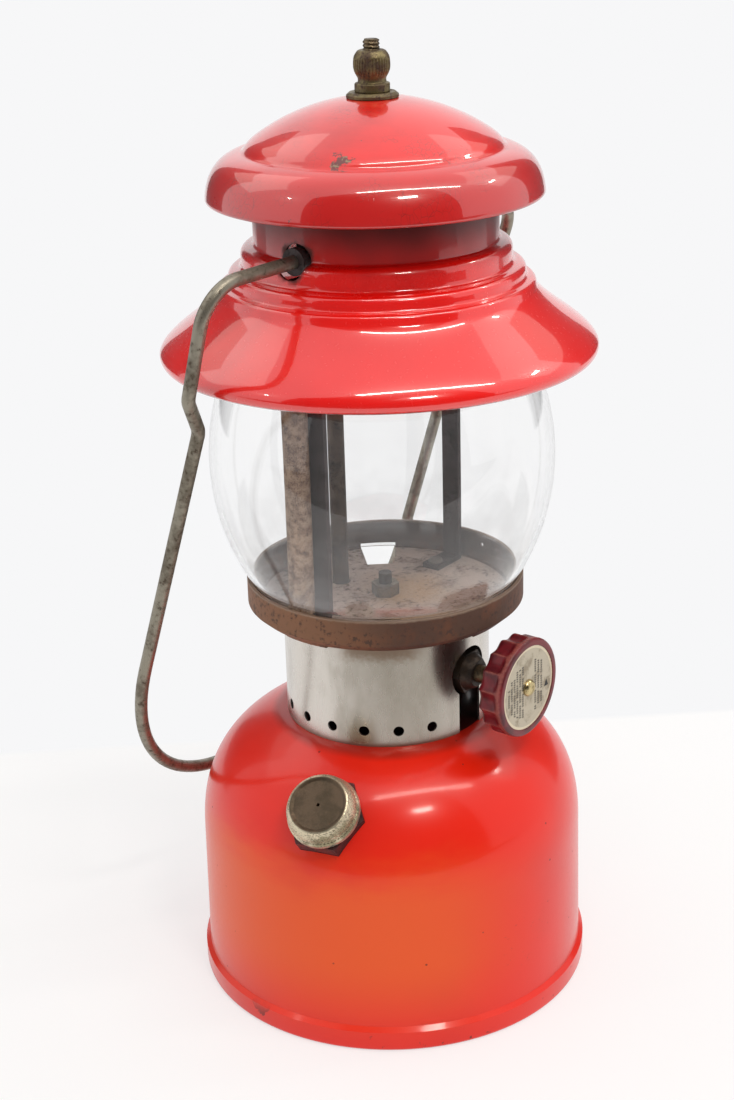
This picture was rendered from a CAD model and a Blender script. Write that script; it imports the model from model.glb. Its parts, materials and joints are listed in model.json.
# %% [markdown]
# # A gasoline pressure lantern
# The lantern comes as solids at their real size: metres, +Z up, the valve wheel towards -Y.
# This lesson dresses them. It sets a camera and lights, writes a finish for each paint, metal and glass,
# and models again the few pieces whose knurls, flutes, threads and rounded lips the solids leave plain.

# %% Load the solids
import json
import math

import bmesh
import bpy
from mathutils import Matrix, Vector


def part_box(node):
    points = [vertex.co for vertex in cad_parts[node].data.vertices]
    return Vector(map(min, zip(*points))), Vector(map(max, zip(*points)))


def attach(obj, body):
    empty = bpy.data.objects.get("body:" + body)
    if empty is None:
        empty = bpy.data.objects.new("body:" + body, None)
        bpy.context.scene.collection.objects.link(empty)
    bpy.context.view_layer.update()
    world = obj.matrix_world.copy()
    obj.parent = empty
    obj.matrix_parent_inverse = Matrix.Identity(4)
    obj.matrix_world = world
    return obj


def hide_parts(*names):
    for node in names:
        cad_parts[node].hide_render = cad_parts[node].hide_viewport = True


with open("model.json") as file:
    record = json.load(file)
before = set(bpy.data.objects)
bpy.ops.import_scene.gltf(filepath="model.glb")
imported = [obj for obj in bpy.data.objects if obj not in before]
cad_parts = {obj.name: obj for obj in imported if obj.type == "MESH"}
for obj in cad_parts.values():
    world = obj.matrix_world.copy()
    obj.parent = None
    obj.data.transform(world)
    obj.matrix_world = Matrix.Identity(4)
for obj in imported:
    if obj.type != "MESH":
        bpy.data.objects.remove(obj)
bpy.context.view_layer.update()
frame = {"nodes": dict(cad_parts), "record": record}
nodes = frame["nodes"]
MM = 0.001

# %% [markdown]
# ## The camera
# A portrait lens stands a little above the lantern and looks down on it, from the valve wheel's left.
# The angles come from fitting the lantern's own circles, so they are set as numbers and not aimed by eye.
# The sensor's 36 mm lie along the frame's long side.

# %% Camera
CAMERA_AZIMUTH = math.radians(-52)
CAMERA_DISTANCE = 0.68506
CAMERA_HEIGHT = 0.43730
CAMERA_PITCH = 0.36986
CAMERA_TURN = 0.00966
CAMERA_ROLL = -0.02992
FOCAL_PIXELS = 1941.4
FRAME_PIXELS = 1100
SENSOR_MM = 36


def round_the_lantern(azimuth, distance, height):
    """A point at an angle counted from the valve wheel towards +X."""
    return Vector((distance*math.sin(azimuth), -distance*math.cos(azimuth), height))


camera_data = bpy.data.cameras.new("camera")
camera_data.sensor_width = SENSOR_MM
camera_data.lens = FOCAL_PIXELS*SENSOR_MM/FRAME_PIXELS
camera = bpy.data.objects.new("camera", camera_data)
scene = bpy.context.scene
scene.view_settings.view_transform = "Standard"
scene.collection.objects.link(camera)
camera.matrix_world = (
    Matrix.Translation(round_the_lantern(CAMERA_AZIMUTH, CAMERA_DISTANCE, CAMERA_HEIGHT))
    @ Matrix.Rotation(CAMERA_AZIMUTH + CAMERA_TURN, 4, "Z")
    @ Matrix.Rotation(math.pi/2 - CAMERA_PITCH, 4, "X")
    @ Matrix.Rotation(CAMERA_ROLL, 4, "Z"))
scene.camera = camera
print("lens in mm:", round(camera_data.lens, 2))

# %% [markdown]
# ## Lamps
# The lantern stands on a pale table in a bright room. An even world light fills the shadows, and area
# lamps give the streaks on the enamel: a ceiling tube, a compact lamp ahead and small ones at the sides.
# Two broad dim lamps behind stand for pale walls and lay a soft sheen on the flanks.

# %% Lamps
AIM = Vector((0, 0, 0.2))
LAMP_COLOUR = (1, 0.94, 0.86)


def from_camera(right, near, up=0):
    """A point by steps to the camera's right, towards the camera and up, from the foot of the lantern."""
    aside = Vector((math.cos(CAMERA_AZIMUTH), math.sin(CAMERA_AZIMUTH), 0))
    return aside*right + round_the_lantern(CAMERA_AZIMUTH, near, up)


def facing_lantern(start, end):
    """A place between two points, with X along them and Z away from the lantern."""
    middle = (start + end)/2
    along_x = (end - start).normalized()
    away = middle - AIM
    back = (away - along_x*away.dot(along_x)).normalized()
    turn = Matrix((along_x, back.cross(along_x), back)).transposed().to_4x4()
    return Matrix.Translation(middle) @ turn


def lamp(name, start, end, up, width, watts):
    """A lamp at one height, from one (right, near) place to another, that shines at the lantern."""
    start, end = from_camera(*start, up), from_camera(*end, up)
    data = bpy.data.lights.new(name, "AREA")
    data.shape = "RECTANGLE"
    data.size = (end - start).length
    data.size_y = width
    data.energy = watts
    data.color = LAMP_COLOUR
    made = bpy.data.objects.new(name, data)
    scene.collection.objects.link(made)
    made.matrix_world = facing_lantern(start, end)
    return made


lamps = [
    lamp("ceiling_tube", (-0.30, 0.82), (1.49, 0.26), up=2.0, width=0.09, watts=12.3),
    lamp("key_lamp", (0.27, 0.83), (0.49, 0.73), up=1.17, width=0.09, watts=3.4),
    lamp("left_lamp", (-1.07, 0.50), (-1.09, 0.46), up=1.12, width=0.04, watts=0.5),
    lamp("right_lamp", (1.14, -0.20), (1.10, -0.34), up=1.16, width=0.05, watts=1.0),
    lamp("back_lamp", (-1.30, -0.10), (-0.60, -1.00), up=1.32, width=0.80, watts=2.4),
    lamp("far_lamp", (0.70, -1.00), (1.40, -0.10), up=1.32, width=0.80, watts=2.0),
]
print("lamps:", len(lamps))

# %% [markdown]
# ## Shader sums in Python
# A finish is a sum of masks: soot times height, rust where a cloud is dense, scratches over all.
# Wiring such sums by hand hides them, so one small class wraps a socket and lets Python's own operators
# add the Math nodes. Every other node comes from its one method, node().

# %% A socket that can be used in sums
class Field:
    """One output of a material's nodes, used like a number, a colour or a vector."""

    def __init__(self, tree, socket):
        self.tree = tree
        self.socket = socket

    def node(self, kind, settings, sockets, out=0):
        """Adds a node, sets it up, then fills its sockets with values or links."""
        made = self.tree.nodes.new(kind)
        for name, value in settings.items():
            setattr(made, name, value)
        for name, value in sockets.items():
            if isinstance(value, Field):
                self.tree.links.new(value.socket, made.inputs[name])
            else:
                made.inputs[name].default_value = value
        return Field(self.tree, made.outputs[out])

    def also(self, out):
        """Another output of the same node."""
        return Field(self.tree, self.socket.node.outputs[out])

    def math(self, operation, first, second):
        return self.node("ShaderNodeMath", {"operation": operation}, {0: first, 1: second})

    def __add__(self, other):
        return self.math("ADD", self, other)

    def __radd__(self, other):
        return self.math("ADD", other, self)

    def __sub__(self, other):
        return self.math("SUBTRACT", self, other)

    def __rsub__(self, other):
        return self.math("SUBTRACT", other, self)

    def __mul__(self, other):
        return self.math("MULTIPLY", self, other)

    def __or__(self, other):
        return self.math("MAXIMUM", self, other)


print("a mask such as 1 - soot*0.5 now makes its own nodes")

# %% [markdown]
# ## Words for finishes
# The same few ideas return in every finish: a cloud of a given size, a soft step from 0 to 1, specks,
# cracks, a spot round a point, a colour laid over another. Each gets a short function in real sizes,
# in metres, because a solid's own coordinates are metres in the lantern's frame.

# %% Clouds, steps, specks and spots
def srgb(red, green, blue):
    """A colour as read off a screen, from 0 to 255, in the linear values that Blender mixes."""
    def straight(v):
        v /= 255
        return v/12.92 if v <= 0.04045 else ((v + 0.055)/1.055)**2.4
    return (straight(red), straight(green), straight(blue), 1)


def step(value, start, end):
    """0 before start, 1 after end, smooth between them; start may be the larger."""
    return value.node("ShaderNodeMapRange", {"interpolation_type": "SMOOTHSTEP"},
                      {"Value": value, "From Min": start, "From Max": end})


def stretched(place, factors):
    """The same place with each axis drawn out, so that a pattern on it shrinks by the factors."""
    return place.node("ShaderNodeVectorMath", {"operation": "MULTIPLY"}, {0: place, 1: factors})


def cloud(place, size, detail=4, rough=0.55, factors=None):
    """Cloudy noise about 0.5, with blotches about size across."""
    where = stretched(place, factors) if factors else place
    return place.node("ShaderNodeTexNoise", {},
                      {"Vector": where, "Scale": 1/size, "Detail": detail, "Roughness": rough})


def specks(place, size, share):
    """1 in round specks, one per cell of the given size, in about that share of each cell's width."""
    cell = place.node("ShaderNodeTexVoronoi", {"feature": "F1"}, {"Vector": place, "Scale": 1/size})
    return step(cell, share, share*0.6)


def cracks(place, size, width):
    """1 along the edges of cells of the given size."""
    edge = place.node("ShaderNodeTexVoronoi", {"feature": "DISTANCE_TO_EDGE"},
                      {"Vector": place, "Scale": 1/size})
    return step(edge, width, 0)


def far_from(place, point):
    """Distance to a point."""
    return place.node("ShaderNodeVectorMath", {"operation": "DISTANCE"}, {0: place, 1: point}, "Value")


def off_axis(place, point, axis):
    """Distance from a line through point along axis."""
    away = place.node("ShaderNodeVectorMath", {"operation": "SUBTRACT"}, {0: place, 1: point})
    across = place.node("ShaderNodeVectorMath", {"operation": "CROSS_PRODUCT"}, {0: away, 1: axis})
    return place.node("ShaderNodeVectorMath", {"operation": "LENGTH"}, {0: across}, "Value")


def from_middle(place):
    """Distance from the lantern's upright axis."""
    return off_axis(place, (0, 0, 0), (0, 0, 1))


def along_axis(place, point, axis):
    """Height along an axis, counted from point."""
    away = place.node("ShaderNodeVectorMath", {"operation": "SUBTRACT"}, {0: place, 1: point})
    return place.node("ShaderNodeVectorMath", {"operation": "DOT_PRODUCT"}, {0: away, 1: axis}, "Value")


def towards(place, azimuth):
    """1 on the side that faces this angle round the lantern, -1 on the far side."""
    flat = stretched(place, (1, 1, 0))
    level = flat.node("ShaderNodeVectorMath", {"operation": "NORMALIZE"}, {0: flat})
    return level.node("ShaderNodeVectorMath", {"operation": "DOT_PRODUCT"},
                      {0: level, 1: round_the_lantern(math.radians(azimuth), 1, 0)}, "Value")


def laid(mask, below, above):
    """A colour laid over another where the mask is 1."""
    return mask.node("ShaderNodeMix", {"data_type": "RGBA"}, {0: mask, 6: below, 7: above}, 2)


def height_of(place):
    """Height above the table."""
    return place.node("ShaderNodeSeparateXYZ", {}, {0: place}, "Z")


def dented(height, depth, edge=None):
    """A normal from a height field of 0 to 1, depth metres deep, over rounded edges if edge is given."""
    sockets = {"Height": height, "Distance": depth}
    if edge:
        sockets["Normal"] = height.node("ShaderNodeBevel", {"samples": 4}, {"Radius": edge})
    return height.node("ShaderNodeBump", {}, sockets)


def finish(name, paint, fixed=None):
    """A material whose varying sockets come from paint(place) and whose even ones are set once."""
    material = bpy.data.materials.new(name)
    material.use_nodes = True
    tree = material.node_tree
    shader = tree.nodes["Principled BSDF"]
    place = Field(tree, tree.nodes.new("ShaderNodeTexCoord").outputs["Object"])
    for socket, value in {**(fixed or {}), **paint(place)}.items():
        if isinstance(value, Field):
            tree.links.new(value.socket, shader.inputs[socket])
        else:
            shader.inputs[socket].default_value = value
    print("finish:", name, "nodes:", len(tree.nodes))
    return material


# %% [markdown]
# ## World, table and cards
# Camera, mirror and glass rays see a pale world, so the backdrop costs the lantern no extra light.
# The table ends at a pale wall. Beyond that line the floor shows the wall's even colour to the same rays,
# and before it a share of plain white over the lit table, which stays pale and keeps its shadow.
# Gloss needs something dark to mirror: a card stands for the dim room behind the camera, up to the
# ceiling tube, and one for the floor before the table. Neither is seen through the glass, which would
# turn dark from behind. Two more cards are, and draw the edges of the globe.

# %% World and table
WORLD_FILL = 0.62
BACKDROP = srgb(247, 247, 248)
TABLE_COLOUR = (0.93, 0.93, 0.94, 1)
TABLE_ROUGH = 0.6
FLOOR_RADIUS, FLOOR_SIDES = 6, 64
WALL_FOOT = from_camera(-0.1927, -0.1731)
WALL_ALONG = from_camera(0.1747, -0.2011) - WALL_FOOT
WALL_AWAY = Vector((-WALL_ALONG.y, WALL_ALONG.x, 0)).normalized()
WALL_BLUR = 6*MM
TABLE_GLOW = 0.6


def on_sight(tree, lit, shown):
    """A shader that camera, mirror and glass rays see as shown, and all other rays as lit."""
    camera_ray = Field(tree, tree.nodes.new("ShaderNodeLightPath").outputs["Is Camera Ray"])
    sight = camera_ray | camera_ray.also("Is Glossy Ray") | camera_ray.also("Is Transmission Ray")
    return sight.node("ShaderNodeMixShader", {}, {0: sight, 1: lit, 2: shown})


world = bpy.data.worlds.new("pale_room")
scene.world = world
world.use_nodes = True
sky = world.node_tree
fill = Field(sky, sky.nodes["Background"].outputs[0])
sky.nodes["Background"].inputs["Color"].default_value = (1, 1, 1, 1)
sky.nodes["Background"].inputs["Strength"].default_value = WORLD_FILL
pale = fill.node("ShaderNodeBackground", {}, {"Color": BACKDROP})
sky.links.new(on_sight(sky, fill, pale).socket, sky.nodes["World Output"].inputs["Surface"])

floor_mesh = bpy.data.meshes.new("floor")
floor_form = bmesh.new()
bmesh.ops.create_circle(floor_form, cap_ends=True, segments=FLOOR_SIDES, radius=FLOOR_RADIUS)
floor_form.to_mesh(floor_mesh)
floor_form.free()
floor = bpy.data.objects.new("floor", floor_mesh)
scene.collection.objects.link(floor)
table_top = finish("pale_table", lambda place: {"Base Color": TABLE_COLOUR, "Roughness": TABLE_ROUGH})
table = table_top.node_tree
table_place = Field(table, table.nodes["Texture Coordinate"].outputs["Object"])
top = Field(table, table.nodes["Principled BSDF"].outputs[0])
wall = top.node("ShaderNodeEmission", {}, {"Color": BACKDROP})
beyond = step(along_axis(table_place, WALL_FOOT, WALL_AWAY), 0, WALL_BLUR)
white = top.node("ShaderNodeEmission", {}, {"Color": (1, 1, 1, 1)})
bright = top.node("ShaderNodeMixShader", {}, {0: TABLE_GLOW, 1: top, 2: white})
walled = top.node("ShaderNodeMixShader", {}, {0: beyond, 1: bright, 2: wall})
table.links.new(on_sight(table, top, walled).socket, table.nodes["Material Output"].inputs["Surface"])
floor_mesh.materials.append(table_top)
print("floor radius in m:", FLOOR_RADIUS)

# %% Dark cards
CARD_GREY = (0.10, 0.10, 0.11, 1)
ROOM_GREY = (0.024, 0.021, 0.021, 1)
CARD_HEIGHT, ROOM_HEIGHT = 1.7, 3.95
FLOOR_CARD_REACH, FLOOR_CARD_FAR, FLOOR_CARD_NEAR = 2.6, 0.52, 2.5
FLOOR_CARD_LIFT = 1*MM


def dark_card(name, corners, paint, through):
    """A card that only mirror rays can see, and rays through glass where it is asked for."""
    mesh = bpy.data.meshes.new(name)
    mesh.from_pydata(corners, [], [tuple(range(len(corners)))])
    mesh.materials.append(paint)
    made = bpy.data.objects.new(name, mesh)
    scene.collection.objects.link(made)
    made.visible_camera = False
    made.visible_diffuse = False
    made.visible_shadow = False
    made.visible_transmission = through
    return made


def upright(start, end, height):
    """Corners of a card that stands on the floor from one (right, near) place to another."""
    start, end = from_camera(*start), from_camera(*end)
    rise = Vector((0, 0, height))
    return [start, end, end + rise, start + rise]


floor_corners = [from_camera(right*FLOOR_CARD_REACH, near, FLOOR_CARD_LIFT) for right, near in (
    (-1, FLOOR_CARD_FAR), (1, FLOOR_CARD_FAR), (1, FLOOR_CARD_NEAR), (-1, FLOOR_CARD_NEAR))]
card_grey = finish("card_grey", lambda place: {"Base Color": CARD_GREY, "Roughness": 1})
room_grey = finish("room_grey", lambda place: {"Base Color": ROOM_GREY, "Roughness": 1})
cards = [
    dark_card("left_card", upright((-1.5, -0.9), (-0.75, -1.6), CARD_HEIGHT), card_grey, through=True),
    dark_card("right_card", upright((0.75, -1.6), (1.5, -0.9), CARD_HEIGHT), card_grey, through=True),
    dark_card("room_card", upright((-3.0, 2.54), (1.7, 1.07), ROOM_HEIGHT), room_grey, through=False),
    dark_card("floor_card", floor_corners, room_grey, through=False),
]
print("cards:", len(cards))

# %% [markdown]
# ## Red enamel on the ventilator
# Porcelain enamel is glass fused to steel: deep colour, hard gloss and a slightly wavy surface.
# The skirt is bright, with soot up the neck, bare iron round the bail's holes and a dark worn rim.
# The cap above it took the heat, so it is duller, crazed all over and chipped along its crease.

# %% Enamel
PIVOT = (0, 0, 291*MM)
BARE_R, CLEAN_R = 8.6*MM, 11.2*MM
SOOT_LOW_Z, SOOT_HIGH_Z = 294*MM, 316*MM
RIM_LOW_Z, RIM_HIGH_Z = 249.1*MM, 251.2*MM
CAP_WORN_AZIMUTH = -98
CAP_WORN_LOW_Z, CAP_WORN_HIGH_Z = 306*MM, 314*MM
CAP_UNDER_LOW_Z, CAP_UNDER_HIGH_Z = 307.4*MM, 309.6*MM
CAP_BURNT_LOW_Z, CAP_BURNT_HIGH_Z = 320*MM, 329*MM
CAP_CHIP = round_the_lantern(math.radians(-66), 44.5*MM, 326*MM)
ENAMEL_RED = srgb(238, 14, 6)
ENAMEL_DEEP = srgb(206, 8, 6)
SOOT = srgb(34, 12, 12)
BARE_IRON = srgb(52, 38, 32)
CAP_RED = srgb(232, 20, 10)
CAP_DULL = srgb(176, 16, 16)
CHIP_BEIGE = srgb(150, 128, 92)
GLAZE = {"Specular IOR Level": 0.5, "Coat Weight": 1, "Coat IOR": 1.7, "Coat Roughness": 0.035}


def skirt_enamel(place):
    z = height_of(place)
    drift = cloud(place, 60*MM, 3)
    grain = cloud(place, 1.6*MM, 2)
    wave = cloud(place, 16*MM, 1)
    soot = step(z + drift*(20*MM), SOOT_LOW_Z, SOOT_HIGH_Z)
    hole = step(off_axis(place, PIVOT, (1, 0, 0)) + cloud(place, 4*MM)*(6*MM), CLEAN_R, BARE_R)
    rim = step(z + cloud(place, 5*MM)*(1.6*MM), RIM_HIGH_Z, RIM_LOW_Z)
    pits = specks(place, 13*MM, 0.03) * step(cloud(place, 40*MM), 0.5, 0.6)
    red = laid(step(drift, 0.45, 0.75)*0.5, ENAMEL_RED, ENAMEL_DEEP)
    sooty = laid(soot*0.9, red, SOOT)
    worn = laid((hole | rim | pits)*0.9, sooty, BARE_IRON)
    dull = soot*0.1 + (hole | pits)*0.5
    return {"Base Color": worn, "Roughness": dull + 0.22 + grain*0.08,
            "Coat Weight": 1 - (soot*0.95 | hole),
            "Normal": dented(wave*0.8 + grain*0.06 - hole*0.5, 0.12*MM)}


def cap_enamel(place):
    z = height_of(place)
    drift = cloud(place, 45*MM, 4)
    grain = cloud(place, 1.2*MM, 3)
    wave = cloud(place, 14*MM, 1)
    bent = stretched(place, (1, 1, 0.6))
    craze = cracks(bent, 1.9*MM, 0.05) * step(cloud(place, 16*MM, 5), 0.48, 0.62)
    rubbed = cloud(place, 30*MM, 6, 0.7, (1, 1, 5))
    bits = cloud(place, 3*MM, 5, 0.7)
    near_chip = step(far_from(place, CAP_CHIP), 8*MM, 1*MM)
    near_edge = (step(z, CAP_WORN_HIGH_Z, CAP_WORN_LOW_Z)
                 * step(towards(place, CAP_WORN_AZIMUTH), 0.6, 0.95))
    chip = step(bits + near_chip*0.3 + near_edge*0.1, 0.74, 0.78)
    beige = step(cloud(place, 1.6*MM, 3), 0.54, 0.62) * chip
    spots = specks(place, 5*MM, 0.07) * step(cloud(place, 25*MM, 2), 0.52, 0.62)
    bare = chip | spots
    under = step(z + drift*(4*MM), CAP_UNDER_HIGH_Z, CAP_UNDER_LOW_Z)
    burnt = step(z + drift*(6*MM), CAP_BURNT_HIGH_Z, CAP_BURNT_LOW_Z)*0.7
    red = laid(step(drift + rubbed*0.4, 0.62, 0.9)*0.5 | burnt, CAP_RED, CAP_DULL)
    lined = laid(craze*0.42, red, SOOT)
    worn = laid(bare*0.85 | under*0.6, lined, BARE_IRON)
    return {"Base Color": laid(beige*0.8, worn, CHIP_BEIGE), "Roughness": rubbed*0.16 + 0.22 + bare*0.3,
            "Normal": dented(wave*0.8 + grain*0.1 - craze*0.2 - bare*0.5, 0.12*MM)}


enamel = finish("red_enamel", skirt_enamel, GLAZE)
old_enamel = finish("crazed_enamel", cap_enamel, GLAZE)

# %% [markdown]
# ## Paint on the fount
# The tank is brushed or sprayed red over steel. Heat and light have faded its front to orange below the
# shoulder, fuel and grit have left dark specks, and the band round the foot is scuffed where it slides.

# %% Fount paint
FADE_AZIMUTH = -84
FADE_NONE_Z, FADE_FULL_Z, FADE_LOW_Z = 102*MM, 72*MM, 38*MM
DIRT_LOW_Z, DIRT_HIGH_Z = 106.8*MM, 108.6*MM
DECK_R = 38.6*MM
DECK_LOW_Z, DECK_HIGH_Z = 103*MM, 104*MM
BAND_Z = 9.8*MM
FOOT_CHIP = round_the_lantern(math.radians(-95), 75.5*MM, 9*MM)
SCRATCHED = round_the_lantern(math.radians(-8), 74*MM, 34*MM)
FOUNT_RED = srgb(230, 30, 2)
FOUNT_ORANGE = srgb(232, 84, 0)
FOUNT_DEEP = srgb(204, 24, 4)
FOUNT_BROWN = srgb(70, 24, 16)


def fount_paint(place):
    z = height_of(place)
    drift = cloud(place, 70*MM, 3)
    streak = cloud(place, 40*MM, 4, 0.6, (1, 1, 3))
    grain = cloud(place, 1.4*MM, 2)
    wave = cloud(place, 20*MM, 1)
    side = step(towards(place, FADE_AZIMUTH) + drift*0.5, 0.3, 1.15)
    belt = step(z + streak*(30*MM), FADE_NONE_Z, FADE_FULL_Z) * step(z, 0, FADE_LOW_Z)
    fade = side * belt
    dots = specks(place, 9*MM, 0.06) * step(cloud(place, 50*MM, 2), 0.42, 0.55)
    low = step(z + cloud(place, 6*MM)*(8*MM), BAND_Z + 4*MM, BAND_Z - 2*MM)
    chipped = step(far_from(place, FOOT_CHIP), 8*MM, 1*MM)*0.4
    scratched = step(far_from(place, SCRATCHED), 24*MM, 4*MM)
    scuff = (low * step(cloud(place, 4*MM, 5) + chipped, 0.66, 0.72)
             | scratched * step(cloud(place, 2.4*MM, 6, 0.7, (1, 1, 1.6)), 0.6, 0.72) * 0.5)
    worn = dots | scuff
    collar_dirt = step(z + streak*(2*MM), DIRT_LOW_Z, DIRT_HIGH_Z)
    deck = step(from_middle(place), DECK_R, DECK_R - 0.4*MM) * step(z, DECK_LOW_Z, DECK_HIGH_Z)
    red = laid(fade*0.9, laid(step(drift, 0.4, 0.7)*0.5, FOUNT_RED, FOUNT_DEEP), FOUNT_ORANGE)
    marked = laid(worn*0.75, red, FOUNT_BROWN)
    dirty = laid(collar_dirt*0.5, marked, FOUNT_BROWN)
    return {"Base Color": laid(deck*0.95, dirty, SOOT),
            "Roughness": fade*0.12 + grain*0.10 + 0.26 + worn*0.3,
            "Normal": dented(wave*0.8 + grain*0.08 - worn*0.4, 0.10*MM)}


tank_paint = finish("fount_paint", fount_paint,
                    {"Specular IOR Level": 0.3, "Coat Weight": 0.4, "Coat Roughness": 0.12})

# %% [markdown]
# ## Metals
# Most metal here is old: brass gone olive, nickel worn to a warm grey, steel burnt brown above the flame.
# One recipe serves them all: a clean colour, a stain in clouds, dark flecks in the hollows, and a
# roughness that follows the stain. The collar and the globe's rest get recipes of their own.

# %% One recipe for aged metal
EDGE = 0.35*MM
METALS = {
    "aged_brass": dict(clean=(150, 124, 78), stain=(104, 82, 50), dark=(52, 40, 26),
                       size=9*MM, rough=0.34, metal=0.95),
    "dark_brass": dict(clean=(112, 98, 76), stain=(74, 62, 46), dark=(34, 28, 20),
                       size=6*MM, rough=0.36, metal=0.85, edge=EDGE),
    "bright_brass": dict(clean=(206, 188, 140), stain=(150, 130, 86), dark=(70, 56, 34),
                         size=3*MM, rough=0.25, metal=1),
    "dull_steel": dict(clean=(126, 122, 116), stain=(92, 84, 74), dark=(50, 42, 34),
                       size=5*MM, rough=0.4, metal=0.9),
    "bail_steel": dict(clean=(148, 142, 128), stain=(112, 104, 90), dark=(74, 60, 46),
                       size=14*MM, rough=0.40, metal=0.8, grain=0.04*MM),
    "burnt_steel": dict(clean=(70, 54, 46), stain=(44, 34, 30), dark=(24, 18, 16),
                        size=12*MM, rough=0.55, metal=0.4, grain=0.08*MM, factors=(1, 1, 0.3)),
    "finial_brass": dict(clean=(124, 112, 78), stain=(84, 66, 54), dark=(44, 32, 28),
                         size=5*MM, rough=0.38, metal=0.75),
    "burnt_iron": dict(clean=(70, 60, 54), stain=(50, 40, 34), dark=(26, 20, 18),
                       size=8*MM, rough=0.6, metal=0.5, grain=0.1*MM),
    "aged_nickel": dict(clean=(150, 142, 122), stain=(118, 108, 88), dark=(60, 52, 40),
                        size=5*MM, rough=0.36, metal=0.85, grain=0.08*MM),
    "dark_bushing": dict(clean=(84, 38, 38), stain=(60, 28, 28), dark=(30, 16, 16),
                         size=6*MM, rough=0.36, metal=0.3, edge=EDGE),
    "tube_rust": dict(clean=(178, 150, 126), stain=(124, 94, 76), dark=(60, 42, 34),
                      size=3*MM, rough=0.6, metal=0.3, grain=0.12*MM),
    "soot_steel": dict(clean=(72, 61, 61), stain=(54, 44, 42), dark=(30, 24, 24),
                       size=7*MM, rough=0.5, metal=0.3, grain=0.1*MM),
    "generator_brown": dict(clean=(92, 76, 64), stain=(62, 48, 40), dark=(34, 26, 22),
                            size=6*MM, rough=0.5, metal=0.4, grain=0.1*MM),
    "black_brass": dict(clean=(62, 50, 40), stain=(42, 34, 28), dark=(22, 18, 16),
                        size=4*MM, rough=0.4, metal=0.6, edge=EDGE),
}


def aged_metal(name, clean, stain, dark, size, rough, metal, grain=0.05*MM, factors=None, edge=None):
    """A finish with three colours as read off a screen, in blotches of the given size."""
    def paint(place):
        blotch = cloud(place, size, 5, 0.6, factors)
        fine = cloud(place, size/7, 5, 0.6, factors)
        stained = step(blotch + fine*0.5, 0.62, 0.92)
        flecked = step(fine + blotch*0.3, 0.72, 0.84)
        colour = laid(flecked*0.8, laid(stained, srgb(*clean), srgb(*stain)), srgb(*dark))
        return {"Base Color": colour, "Roughness": rough + stained*0.18 + flecked*0.2,
                "Metallic": metal - (stained*0.35 + flecked*0.3)*metal,
                "Normal": dented(fine - flecked*0.5, grain, edge)}
    return finish(name, paint)


metals = {name: aged_metal(name, **look) for name, look in METALS.items()}

# %% Rusted globe rest
RUST_BROWN = srgb(84, 58, 46)
RUST_RED = srgb(112, 66, 42)
RUST_BLACK = srgb(38, 28, 24)
RUST_PALE = srgb(150, 128, 110)
RUST_TAN = srgb(146, 104, 76)
RUST_AZIMUTH = -115
PLATE_GREY = srgb(190, 174, 164)
PLATE_BROWN = srgb(134, 110, 94)
PLATE_STAIN = srgb(176, 136, 80)
STAIN_AT = (8*MM, -4*MM, 150*MM)
STAIN_INNER_R, STAIN_OUTER_R = 16*MM, 34*MM
REST_LOW, REST_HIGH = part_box("globe_rest")
RIM_TOP_Z = REST_HIGH.z
PLATE_R = (REST_HIGH.x - REST_LOW.x)/2 - 4*MM


def rest_rust(place):
    z = height_of(place)
    blotch = cloud(place, 14*MM, 5)
    fine = cloud(place, 2*MM, 6, 0.65)
    reddish = step(blotch + fine*0.3, 0.58, 0.8)
    black = step(fine + blotch*0.4, 0.74, 0.86)
    bright = step(z + fine*(1.2*MM), RIM_TOP_Z - 0.4*MM, RIM_TOP_Z + 0.5*MM) * 0.7
    inner = step(from_middle(place), PLATE_R, PLATE_R - 1*MM)
    plate = inner * step(z, REST_LOW.z, REST_LOW.z + 1*MM)
    dry = step(towards(place, RUST_AZIMUTH), 0.3, 1)*0.8
    yellow = step(far_from(place, STAIN_AT) + blotch*(20*MM), STAIN_OUTER_R, STAIN_INNER_R)*0.7
    ring = laid(dry, laid(reddish*0.7, RUST_BROWN, RUST_RED), RUST_TAN)
    flat = laid(yellow, laid(reddish*0.8, PLATE_GREY, PLATE_BROWN), PLATE_STAIN)
    colour = laid(black*0.7, laid(plate, ring, flat), RUST_BLACK)
    return {"Base Color": laid(bright, colour, RUST_PALE), "Roughness": 0.52 + fine*0.25 - bright*0.2,
            "Metallic": 0.35 - black*0.3, "Normal": dented(fine + blotch*0.5, 0.14*MM, EDGE)}


rusted_steel = finish("rusted_steel", rest_rust)

# %% Nickel-plated collar
COLLAR_LOW, COLLAR_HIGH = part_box("collar")
COLLAR_R = (COLLAR_HIGH.x - COLLAR_LOW.x)/2
NICKEL = srgb(214, 208, 200)
NICKEL_GREY = srgb(188, 182, 172)
NICKEL_TARNISH = srgb(140, 132, 118)
NICKEL_STAIN = srgb(128, 102, 76)
TARNISH_AZIMUTH = -42
STAIN_AZIMUTH = -56


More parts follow.
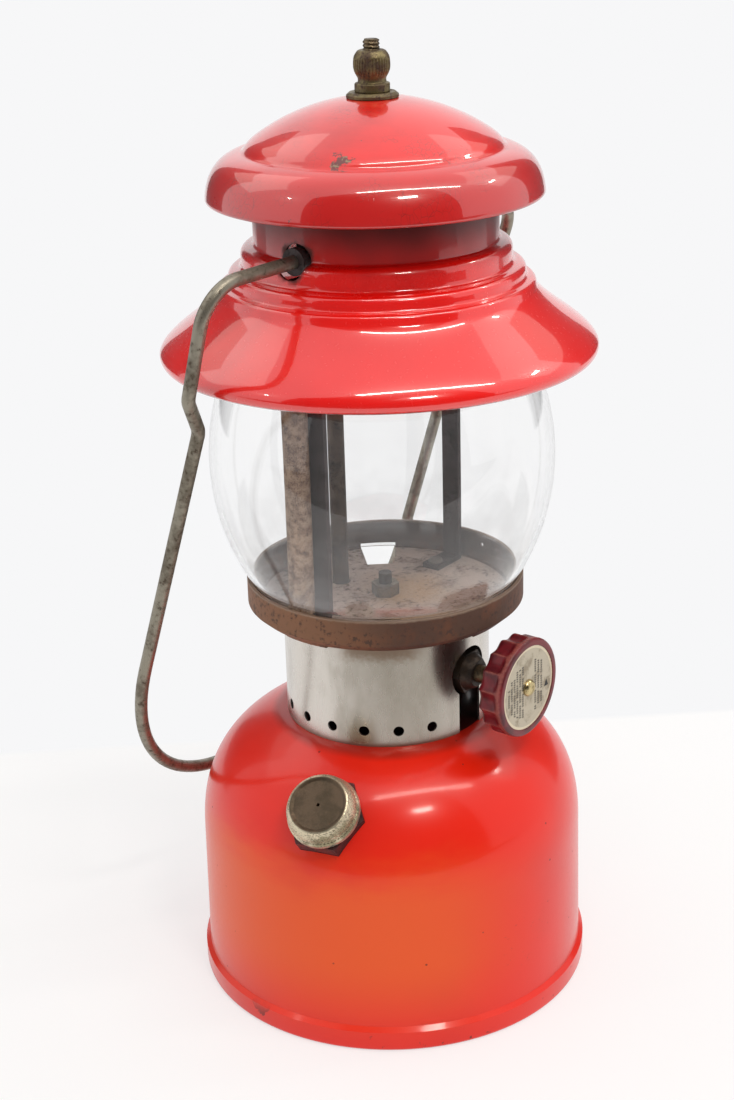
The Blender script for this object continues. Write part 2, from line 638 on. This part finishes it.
def collar_nickel(place):
    z = height_of(place)
    smear = cloud(place, 18*MM, 4, 0.6, (1, 1, 0.5))
    brush = cloud(place, 4*MM, 3, 0.5, (1, 1, 0.3))
    fine = cloud(place, 1.5*MM, 4)
    inside = step(from_middle(place), COLLAR_R - 0.3*MM, COLLAR_R - 0.5*MM)
    foot = step(z + smear*(4*MM), COLLAR_LOW.z + 4*MM, COLLAR_LOW.z + 1.4*MM)
    runs = cloud(place, 10*MM, 3, 0.5, (1, 1, 0.3))
    drip = step(z + runs*(20*MM), COLLAR_HIGH.z + 4*MM, COLLAR_HIGH.z + 10*MM)
    facing = towards(place, TARNISH_AZIMUTH)
    below_rest = (step(z + fine*(6*MM), COLLAR_HIGH.z - 9*MM, COLLAR_HIGH.z - 3*MM)
                  * step(towards(place, STAIN_AZIMUTH) + smear*0.1, 0.93, 1.03))
    stain = (foot | drip | below_rest)*0.7 + step(smear, 0.62, 0.78)*0.12
    grey = laid(step(smear + brush*0.12, 0.5, 0.8), NICKEL, NICKEL_GREY)
    colour = laid(stain, laid(step(facing + smear*0.3, 0.75, 1.2)*0.7, grey, NICKEL_TARNISH), NICKEL_STAIN)
    return {"Base Color": laid(inside*0.9, colour, SOOT), "Roughness": 0.22 + brush*0.1 + stain*0.25,
            "Metallic": 0.95 - (stain*0.4 | inside*0.8), "Normal": dented(brush*0.3 + fine*0.2, 0.03*MM)}


nickel_plate = finish("nickel_plate", collar_nickel)

# %% [markdown]
# ## Wheel, disc, leather, rubber and glass
# The hand wheel is maroon moulded resin, worn paler along its ridges. Its disc is satin aluminium.
# The globe is clear glass: a mirror at its edges, nearly nothing face on, with a film of dust low down.
# Lamp rays pass straight through it, or the burner behind it would stand in the dark.

# %% Moulded resin, aluminium, leather and rubber
RESIN = srgb(110, 20, 30)
RESIN_DARK = srgb(78, 12, 22)
RESIN_WORN = srgb(168, 96, 84)
DISC_SATIN = srgb(188, 178, 158)
DISC_DIRT = srgb(150, 138, 118)
DISC_EDGE = srgb(226, 212, 184)
DISC_EDGE_R = 14.9*MM
HIDE = srgb(110, 74, 46)
HIDE_DARK = srgb(74, 46, 28)
RUBBER = srgb(28, 28, 28)
RUBBER_DUST = srgb(58, 56, 52)
JOINTS = {joint["name"]: joint for joint in frame["record"]["behaviour"]["joints"]}


def moulded_resin(name, joint, rim_r):
    """Resin that is worn pale where it stands out furthest from a joint's axis."""
    def paint(place):
        grime = cloud(place, 7*MM, 4)
        fine = cloud(place, 0.9*MM, 4)
        out = off_axis(place, JOINTS[joint]["pos_m"], JOINTS[joint]["axis"])
        ridge = step(out + fine*(0.6*MM), rim_r - 0.1*MM, rim_r + 0.5*MM)*0.6
        colour = laid(ridge, laid(step(grime, 0.4, 0.65), RESIN, RESIN_DARK), RESIN_WORN)
        return {"Base Color": colour, "Roughness": 0.26 + fine*0.14 + ridge*0.3,
                "Normal": dented(fine, 0.02*MM)}
    return finish(name, paint, {"Specular IOR Level": 0.45})


def disc_aluminium(place):
    smear = cloud(place, 6*MM, 4)
    fine = cloud(place, 0.6*MM, 3)
    dirt = step(smear + fine*0.3, 0.6, 0.85)
    out = off_axis(place, JOINTS["wheel_turn"]["pos_m"], (0, 1, 0))
    border = step(out, DISC_EDGE_R, DISC_EDGE_R + 0.3*MM)
    colour = laid(dirt, DISC_SATIN, DISC_DIRT)
    return {"Base Color": laid(border*0.8, colour, DISC_EDGE), "Roughness": 0.36 + dirt*0.2,
            "Metallic": 0.6 - dirt*0.3, "Normal": dented(fine, 0.02*MM)}


def cup_leather_hide(place):
    pores = cloud(place, 0.8*MM, 5)
    return {"Base Color": laid(step(pores, 0.4, 0.6), HIDE, HIDE_DARK), "Roughness": 0.5 + pores*0.2,
            "Normal": dented(pores, 0.1*MM)}


def gasket_black(place):
    dust = cloud(place, 2*MM, 4)
    return {"Base Color": laid(step(dust, 0.45, 0.7), RUBBER, RUBBER_DUST), "Roughness": 0.6 + dust*0.2,
            "Normal": dented(dust, 0.04*MM)}


WHEEL_R = 18.8*MM
KNOB_R = 12.5*MM
resin = moulded_resin("maroon_wheel", "wheel_turn", WHEEL_R)
knob_resin = moulded_resin("maroon_knob", "pump_knob_turn", KNOB_R)
disc_metal = finish("disc_metal", disc_aluminium)
cup_leather = finish("cup_leather", cup_leather_hide)
gasket_rubber = finish("gasket_rubber", gasket_black)

# %% Glass
GLOBE_LOW, GLOBE_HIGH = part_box("globe")
GLASS_TINT = (0.992, 0.992, 0.99, 1)
GLASS_IOR = 1.52
FILM_LOW_Z, FILM_HIGH_Z = GLOBE_LOW.z + 30*MM, 221*MM
DUST_COLOUR = (0.80, 0.81, 0.82, 1)
DUST_SHARE = 0.08


def globe_film(place):
    smear = cloud(place, 30*MM, 5, 0.6)
    return {"Roughness": 0.003 + step(smear, 0.6, 0.9)*0.004}


clear_glass = finish("clear_glass", globe_film,
                     {"Base Color": GLASS_TINT, "Transmission Weight": 1, "IOR": GLASS_IOR})
glass_tree = clear_glass.node_tree
glass_place = Field(glass_tree, glass_tree.nodes["Texture Coordinate"].outputs["Object"])
uneven = height_of(glass_place) + cloud(glass_place, 40*MM, 4)*(30*MM)
film = step(uneven, FILM_HIGH_Z, FILM_LOW_Z) * step(cloud(glass_place, 16*MM, 6), 0.3, 0.7)
dust = film.node("ShaderNodeBsdfDiffuse", {}, {"Color": DUST_COLOUR})
pane = Field(glass_tree, glass_tree.nodes["Principled BSDF"].outputs[0])
dusty = film.node("ShaderNodeMixShader", {}, {0: film*DUST_SHARE, 1: pane, 2: dust})
shadow_ray = film.node("ShaderNodeLightPath", {}, {}, "Is Shadow Ray")
see_through = film.node("ShaderNodeBsdfTransparent", {}, {})
lit_through = film.node("ShaderNodeMixShader", {}, {0: shadow_ray, 1: dusty, 2: see_through})
glass_tree.links.new(lit_through.socket, glass_tree.nodes["Material Output"].inputs["Surface"])
print("glass nodes:", len(glass_tree.nodes))

# %% [markdown]
# ## Pieces modelled again
# Knurls, flutes, threads and the globe's rounded lips show up close, and all of them are turned work.
# One tool serves: it sweeps a closed outline round an axis and lets a ripple push the radius in and out
# with the angle. A modifier stack could do it too, but the sizes would then hide in modifier settings.

# %% A turning tool
PIECE_ANGLE = math.radians(38)
MERGE_REACH = 0.0001*MM
FILLET_SHARE = 0.49


def rounded(corners, count=5):
    """An outline in metres through (radius, height, fillet) corners in millimetres."""
    points = []
    for index, (radius, height, fillet) in enumerate(corners):
        corner = Vector((radius, height))
        before = Vector(corners[index - 1][:2]) - corner
        after = Vector(corners[(index + 1) % len(corners)][:2]) - corner
        if not fillet:
            points.append(corner*MM)
            continue
        reach = min(fillet, FILLET_SHARE*before.length, FILLET_SHARE*after.length)
        start = corner + before.normalized()*reach
        end = corner + after.normalized()*reach
        for number in range(count + 1):
            t = number/count
            points.append((start*(1 - t)**2 + corner*2*t*(1 - t) + end*t*t)*MM)
    return points


def divided(outline, longest, closed=True):
    """The same outline, or open run, with points added until no side is longer than asked."""
    points = [] if closed else [outline[0]]
    for index in range(0 if closed else 1, len(outline)):
        start, point = outline[index - 1], outline[index]
        parts = max(1, math.ceil((point - start).length/longest))
        points += [start.lerp(point, number/parts) for number in range(1, parts + 1)]
    return points


def turned(name, outline, turns, ripple=None):
    """A mesh swept round Z from a closed outline of radius and height."""
    form = bmesh.new()
    rings = []
    for number in range(turns):
        angle = 2*math.pi*number/turns
        ring = []
        for radius, height in outline:
            reach = radius + (ripple(angle, radius, height) if ripple else 0)
            ring.append(form.verts.new((reach*math.cos(angle), reach*math.sin(angle), height)))
        rings.append(ring)
    for number, ring in enumerate(rings):
        last = rings[number - 1]
        for k in range(len(outline)):
            form.faces.new((last[k - 1], ring[k - 1], ring[k], last[k]))
    bmesh.ops.remove_doubles(form, verts=form.verts, dist=MERGE_REACH)
    bmesh.ops.recalc_face_normals(form, faces=form.faces)
    mesh = bpy.data.meshes.new(name)
    form.to_mesh(mesh)
    form.free()
    return mesh


def grooves(count, depth, share, inner, low, high, fade):
    """A ripple of hollow flutes, each a share of its pitch wide, that fade out near low and high."""
    def ripple(angle, radius, height):
        if radius < inner:
            return 0
        across = (count*angle/(2*math.pi) + 0.5) % 1 - 0.5
        if abs(across) > share/2:
            return 0
        ends = max(0, min(1, (height - low)/fade, (high - height)/fade))
        return -depth*ends*math.cos(math.pi*across/share)
    return ripple


def along(joint):
    """A joint's place, with heights along its axis."""
    turn = Vector((0, 0, 1)).rotation_difference(Vector(JOINTS[joint]["axis"])).to_matrix().to_4x4()
    return Matrix.Translation(JOINTS[joint]["pos_m"]) @ turn


def piece(mesh, coat, body, hides=(), place=Matrix()):
    """An object for a mesh, dressed, riding on its body and standing for the solids it hides."""
    mesh.transform(place)
    mesh.shade_smooth()
    mesh.set_sharp_from_angle(angle=PIECE_ANGLE)
    mesh.materials.append(coat)
    made = bpy.data.objects.new(mesh.name, mesh)
    scene.collection.objects.link(made)
    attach(made, body)
    if hides:
        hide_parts(*hides)
    print("piece:", mesh.name, "points:", len(mesh.vertices))


# %% [markdown]
# ### The globe
# A blown barrel with two straight necks. Its wall is an arc run up the outside and down the inside, and
# its lips are fire-polished, so they end in half circles.

# %% Globe
GLOBE_WALL = 2*MM
GLOBE_NECK_R = 50.5*MM
GLOBE_LIP = 9.6*MM
WALL_STEPS, LIP_STEPS = 64, 10


def globe_outline():
    """The wall's outer arc, the upper lip, the inner arc and the lower lip."""
    middle = (GLOBE_LOW.z + GLOBE_HIGH.z)/2
    bulge_r = (GLOBE_HIGH.x - GLOBE_LOW.x)/2
    reach = (GLOBE_HIGH.z - GLOBE_LOW.z)/2 - GLOBE_LIP
    rise = bulge_r - GLOBE_NECK_R
    arc_r = (reach**2 + rise**2)/(2*rise)
    bend = math.asin(reach/arc_r)
    centre = Vector((bulge_r - arc_r, middle))

    def wall(radius):
        angles = [bend*(2*number/WALL_STEPS - 1) for number in range(WALL_STEPS + 1)]
        return [centre + radius*Vector((math.cos(angle), math.sin(angle))) for angle in angles]

    def lip(height, first):
        ring = Vector((GLOBE_NECK_R - GLOBE_WALL/2, height))
        angles = [first + math.pi*number/LIP_STEPS for number in range(LIP_STEPS + 1)]
        return [ring + GLOBE_WALL/2*Vector((math.cos(angle), math.sin(angle))) for angle in angles]

    return (wall(arc_r) + lip(GLOBE_HIGH.z - GLOBE_WALL/2, 0) + wall(arc_r - GLOBE_WALL)[::-1]
            + lip(GLOBE_LOW.z + GLOBE_WALL/2, math.pi))


piece(turned("glass_globe", globe_outline(), turns=192), clear_glass, "lantern", ["globe"])

# %% [markdown]
# ### The cap of the ventilator
# A spun sheet: a dome that is part of a ball, a soft valley, and a rim that swells out and down to its
# widest line, just above a tightly turned edge. The inside is the same run, one wall further in.

# %% Cap of the ventilator
CAP_WALL = 1.0
CAP_TOP_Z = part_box("ventilator_cap")[1].z/MM
CAP_BALL_R, CAP_BALL_Z = 74, 266.87
CAP_EDGE_R, CAP_EDGE_Z = 60.2, 307.5
CURL_R, CURL_ANGLE = 1.2, math.radians(115)
CAP_PULL = Vector((59.0, 320.8))
CAP_CREST = Vector((47.6, 322.9))
CAP_VALLEY = Vector((46.44, 322.9))
CAP_CREASE = Vector((44.5, 326.0))
DOME_FOOT_R, CAP_FLAT_R, CAP_HOLE_R = 41.9, 12, 3.3
CURL_STEPS, RIM_STEPS, CREASE_STEPS, DOME_STEPS = 8, 24, 8, 24


def bow(start, pull, end, count):
    """Points of a curve that leaves start towards pull and reaches end from it."""
    steps = [number/count for number in range(count + 1)]
    return [start*(1 - t)**2 + pull*2*t*(1 - t) + end*t*t for t in steps]


def cap_outline_mm():
    """The outside from the turned edge up to the hole for the stud, then the inside back down."""
    def dome(radius):
        return Vector((radius, min(CAP_BALL_Z + math.sqrt(CAP_BALL_R**2 - radius**2), CAP_TOP_Z)))

    curl = Vector((CAP_EDGE_R - CURL_R, CAP_EDGE_Z))
    turn = [CURL_ANGLE*(number/CURL_STEPS - 1) for number in range(CURL_STEPS)]
    middle = (CAP_VALLEY + CAP_CREASE)/2
    dome_run = CAP_FLAT_R - DOME_FOOT_R
    run = [curl + CURL_R*Vector((math.cos(angle), math.sin(angle))) for angle in turn]
    run += bow(Vector((CAP_EDGE_R, CAP_EDGE_Z)), CAP_PULL, CAP_CREST, RIM_STEPS)
    run += bow(CAP_CREST, CAP_VALLEY, middle, CREASE_STEPS)[1:]
    run += bow(middle, CAP_CREASE, dome(DOME_FOOT_R), CREASE_STEPS)[1:]
    run += [dome(DOME_FOOT_R + dome_run*number/DOME_STEPS) for number in range(1, DOME_STEPS + 1)]
    run += [dome(CAP_FLAT_R - 1), dome(CAP_HOLE_R)]
    inside = []
    for number, point in enumerate(run):
        along_run = run[min(number + 1, len(run) - 1)] - run[max(number - 1, 0)]
        inside.append(point + CAP_WALL*Vector((-along_run.y, along_run.x)).normalized())
    return run + inside[::-1]


cap_outline = [point*MM for point in cap_outline_mm()]
piece(turned("spun_cap", cap_outline, turns=192), old_enamel, "lantern", ["ventilator_cap"])

# %% [markdown]
# ### Wheel, disc marks and knob
# The wheel is a moulded disc with hollow flutes that stop short of its rounded front rim. The knob of
# the pump is its smaller cousin. The disc carries columns of plain marks and a pointer for the open way.

# %% Wheel and knob
FLUTE_STEP = 0.8*MM
WHEEL_PLACE = along("wheel_turn")
wheel_outline = divided(rounded([
    (3.46, 51.0, 0.2), (6.4, 51.0, 0.5), (6.4, 54.5, 0), (16.6, 54.5, 1.0), (18.8, 56.2, 1.6),
    (18.8, 65.5, 2.6), (16.06, 65.5, 0.2), (16.06, 64.5, 0), (3.46, 64.5, 0)]), FLUTE_STEP)
wheel_flutes = grooves(count=16, depth=1.2*MM, share=1, inner=15*MM, low=53*MM, high=63.6*MM, fade=1.6*MM)
piece(turned("fluted_wheel", wheel_outline, 192, wheel_flutes), resin, "wheel",
      ["hand_wheel"], WHEEL_PLACE)
knob_outline = divided(rounded([
    (0, 9.0, 0), (12.5, 9.0, 2), (12.5, 19.0, 2.4), (9, 19.0, 2), (0, 18.2, 0)]), FLUTE_STEP)
knob_flutes = grooves(count=14, depth=0.48*MM, share=0.42, inner=9*MM, low=8*MM, high=20*MM, fade=1*MM)
piece(turned("fluted_knob", knob_outline, 168, knob_flutes), knob_resin, "pump_handle",
      ["pump_knob"], along("pump_knob_turn"))

# %% Marks on the disc
DISC_TOP = 65.16*MM
MARK_H = 0.05*MM
MARK_COLUMNS = (-12.6, -10.8, -9.0, -7.2, -5.4, -3.6, 4.6, 6.6, 8.6)
MARK_PITCH = 0.9
MARK_HALF_W, MARK_HALF_H = 0.5, 0.22
MARK_REACH, MARK_SHARE = 13.6, 0.8
MARK_GAPS = 7
POINTER = ((10.6, -3.6), (13.2, -3.6), (11.9, -0.8))
INK = (0.012, 0.012, 0.012, 1)


def marks_mesh():
    """Columns of short marks on both sides of the screw, and one pointer beside them."""
    form = bmesh.new()

    def slab(corners):
        top = [form.verts.new((*corner, DISC_TOP + MARK_H)) for corner in corners]
        low = [form.verts.new((*corner, DISC_TOP)) for corner in corners]
        form.faces.new(top)
        form.faces.new(low[::-1])
        for k in range(len(corners)):
            form.faces.new((low[k - 1], low[k], top[k], top[k - 1]))

    for column, x in enumerate(MARK_COLUMNS):
        reach = MARK_SHARE*math.sqrt(MARK_REACH**2 - x**2)
        for number in range(round(2*reach/MARK_PITCH)):
            if (number + 2*column) % MARK_GAPS == 0:
                continue
            y = number*MARK_PITCH - reach
            slab([Vector((x + MARK_HALF_W*u, y + MARK_HALF_H*v))*MM
                  for u, v in ((-1, -1), (1, -1), (1, 1), (-1, 1))])
    slab([Vector(corner)*MM for corner in POINTER])
    mesh = bpy.data.meshes.new("disc_marks")
    form.to_mesh(mesh)
    form.free()
    return mesh


def ink_black(place):
    return {"Base Color": INK, "Roughness": 0.45 + cloud(place, 1*MM)*0.2}


ink = finish("mark_ink", ink_black)
piece(marks_mesh(), ink, "wheel", place=WHEEL_PLACE)

# %% [markdown]
# ### Filler cap, ball nut and stud
# The cap's sloping ring has a diamond knurl: two sets of grooves that wind opposite ways and cross.
# The ball nut has straight knurls, and the stud above it a thread, one groove that climbs a pitch a turn.

# %% Filler cap, ball nut and stud
KNURLS = 60
CAP_LOW = 1.2*MM
KNURLED_R = 11*MM
KNURL_LOW, KNURL_HIGH = 2.5*MM, 7.9*MM
KNURL_WIND = 4700
KNURL_DEPTH = 0.32*MM
THREAD_PITCH = 1.25*MM
THREAD_DEPTH = 0.45*MM
THREAD_LOW = 341*MM
THREAD_INNER_R, THREAD_OUTER_R = 2*MM, 5*MM
HEX_R = 5.5*MM
STUD_R, STUD_TIP_R = 3.0, 2.5
KNURL_STEP, NUT_STEP, SHANK_STEP, THREAD_STEP = 0.3*MM, 0.4*MM, 4*MM, 0.13*MM


def diamonds(angle, radius, height):
    """A ripple of two sets of grooves that wind opposite ways."""
    if radius < KNURLED_R or not KNURL_LOW < height < KNURL_HIGH:
        return 0
    one = abs(math.sin((KNURLS*angle + KNURL_WIND*height)/2))
    two = abs(math.sin((KNURLS*angle - KNURL_WIND*height)/2))
    return -KNURL_DEPTH*(1 - min(one, two))


def thread(angle, radius, height):
    """A ripple that gives the head six sides and the shank's upper end a winding groove."""
    if radius > THREAD_OUTER_R:
        sixth = angle % (math.pi/3) - math.pi/6
        return HEX_R*(math.cos(math.pi/6)/math.cos(sixth) - 1)
    if radius < THREAD_INNER_R or height < THREAD_LOW:
        return 0
    climb = (height/THREAD_PITCH + angle/(2*math.pi)) % 1
    return -THREAD_DEPTH*abs(2*climb - 1)


filler_outline = divided(rounded([
    (0.6, 8.1, 0.2), (9.4, 8.0, 0.3), (10.2, 8.5, 0.3), (11.2, 8.58, 0.4), (12.9, 6.0, 1.6),
    (13.3, 2.5, 0.3), (13.8, 1.8, 0.2), (13.8, 0, 0.3), (10.46, 0, 0), (10.46, 6.38, 0),
    (0.6, 6.38, 0)]), KNURL_STEP)
filler_mesh = turned("knurled_cap", filler_outline, 360, diamonds)
nut_outline = divided(rounded([
    (3.06, 342.21, 0), (6.2, 342.21, 0.3), (6.2, 345.1, 0.5), (5.0, 345.51, 0.2), (4.9, 346.8, 0.8),
    (6.4, 349.2, 1.6), (6.6, 351.6, 2.0), (6.3, 354.2, 1.6), (4.8, 356.3, 1.0), (3.06, 356.5, 0.2)]),
    NUT_STEP)
nut_knurls = grooves(count=36, depth=0.34*MM, share=1, inner=5*MM, low=347.4*MM, high=354*MM, fade=1*MM)
piece(turned("knurled_nut", nut_outline, 252, nut_knurls), metals["finial_brass"], "ball_nut",
      ["ball_nut"])
shank = rounded([
    (0, 293.6, 0), (5.5, 293.6, 0.3), (5.5, 296.6, 0.3), (STUD_R, 296.6, 0), (STUD_R, 341, 0)])
threaded = [Vector((radius*MM, height*MM)) for radius, height in (
    (STUD_R, 341.2), (STUD_R, 359.4), (STUD_TIP_R, 360), (0, 360))]
stud_outline = divided(shank, SHANK_STEP, closed=False) + divided(threaded, THREAD_STEP, closed=False)
piece(turned("threaded_stud", stud_outline, 48, thread), metals["dark_brass"], "lantern",
      ["vent_stud"])

# %% Worn nickel on the filler cap
CAP_RING = srgb(216, 204, 176)
CAP_FACE = srgb(100, 84, 68)
CAP_OLIVE = srgb(112, 104, 70)
CAP_PIT = srgb(64, 56, 42)
CAP_LIP = srgb(214, 208, 190)
CAP_FACE_R = 10.5*MM
CAP_LOW_LEFT = (0.12, -0.60, -0.79)


def cap_nickel(place):
    joint = JOINTS["filler_turn"]
    out = off_axis(place, joint["pos_m"], joint["axis"])
    up = along_axis(place, joint["pos_m"], joint["axis"])
    grain = cloud(place, 0.7*MM, 4, 0.65)
    blotch = cloud(place, 7*MM, 4)
    face = step(out, CAP_FACE_R + 0.6*MM, CAP_FACE_R)
    rim = step(up + grain*(0.6*MM), CAP_LOW + 2.2*MM, CAP_LOW + 1.6*MM)
    pits = step(grain + blotch*0.3, 0.66, 0.78)*(1 - face*0.6)
    low_left = step(along_axis(place, joint["pos_m"], CAP_LOW_LEFT), 2*MM, 9*MM)
    green = step(blotch + low_left*0.3, 0.56, 0.74)*(1 - face)
    ring = laid(pits*0.6, laid(green*0.7, CAP_RING, CAP_OLIVE), CAP_PIT)
    top = laid(step(blotch + grain*0.3, 0.55, 0.8)*0.6, CAP_FACE, CAP_PIT)
    return {"Base Color": laid(rim*0.5, laid(face, ring, top), CAP_LIP),
            "Roughness": 0.32 + pits*0.25 + face*0.12, "Metallic": 0.8 - pits*0.4,
            "Normal": dented(grain*0.5 + cloud(place, 3*MM, 3)*face*3, 0.12*MM)}


filler_nickel = finish("filler_nickel", cap_nickel)
piece(filler_mesh, filler_nickel, "filler_cap", ["filler_cap"],
      along("filler_turn") @ Matrix.Translation((0, 0, CAP_LOW)))

# %% [markdown]
# ## Dressing the solids
# Each solid takes the finish of its slot in the parts list, apart from a few that have one of their own.
# Spun shells come as rings of flat facets, so a weld and a node that shades smooth below a set angle round
# them, without touching the solids' points.

# %% Finishes on the solids
finishes = {
    **metals, "fount_paint": tank_paint, "red_enamel": enamel, "nickel_plate": nickel_plate,
    "rusted_steel": rusted_steel, "maroon_wheel": resin, "disc_metal": disc_metal,
    "clear_glass": clear_glass, "gasket_rubber": gasket_rubber, "cup_leather": cup_leather,
}
slot_of = {part["node"]: part["material_slot"] for part in frame["record"]["subparts"]}
own_finish = {
    "ventilator_cap": old_enamel, "filler_cap": filler_nickel, "pump_knob": knob_resin,
    "air_tube": metals["tube_rust"], "generator": metals["generator_brown"],
    "frame_strap_left": metals["soot_steel"], "frame_strap_right": metals["soot_steel"],
    "bail_ear_left": metals["soot_steel"], "bail_ear_right": metals["soot_steel"],
    "packing_nut": metals["black_brass"], "valve_body": metals["black_brass"],
    "finial_washer": metals["finial_brass"], "ball_nut": metals["finial_brass"],
}
WELD_REACH = 0.002*MM
SMOOTH_ANGLE = math.radians(32)


def smoothing_nodes():
    """A node group that shades smooth wherever faces meet at less than the set angle."""
    group = bpy.data.node_groups.new("smooth_below_angle", "GeometryNodeTree")
    group.interface.new_socket("Geometry", in_out="INPUT", socket_type="NodeSocketGeometry")
    group.interface.new_socket("Geometry", in_out="OUTPUT", socket_type="NodeSocketGeometry")
    enter = group.nodes.new("NodeGroupInput")
    leave = group.nodes.new("NodeGroupOutput")
    angle = group.nodes.new("GeometryNodeInputMeshEdgeAngle")
    soft = group.nodes.new("FunctionNodeCompare")
    soft.operation = "LESS_THAN"
    soft.inputs["B"].default_value = SMOOTH_ANGLE
    edges = group.nodes.new("GeometryNodeSetShadeSmooth")
    edges.domain = "EDGE"
    faces = group.nodes.new("GeometryNodeSetShadeSmooth")
    faces.domain = "FACE"
    group.links.new(angle.outputs["Unsigned Angle"], soft.inputs["A"])
    group.links.new(enter.outputs["Geometry"], edges.inputs["Geometry"])
    group.links.new(soft.outputs["Result"], edges.inputs["Shade Smooth"])
    group.links.new(edges.outputs["Geometry"], faces.inputs["Geometry"])
    group.links.new(faces.outputs["Geometry"], leave.inputs["Geometry"])
    return group


smooth_below = smoothing_nodes()
for name, solid in nodes.items():
    coat = own_finish.get(name, finishes[slot_of[name]])
    solid.data.materials.clear()
    solid.data.materials.append(coat)
    weld = solid.modifiers.new("weld", "WELD")
    weld.merge_threshold = WELD_REACH
    smooth = solid.modifiers.new("smooth", "NODES")
    smooth.node_group = smooth_below
print("dressed solids:", len(nodes))
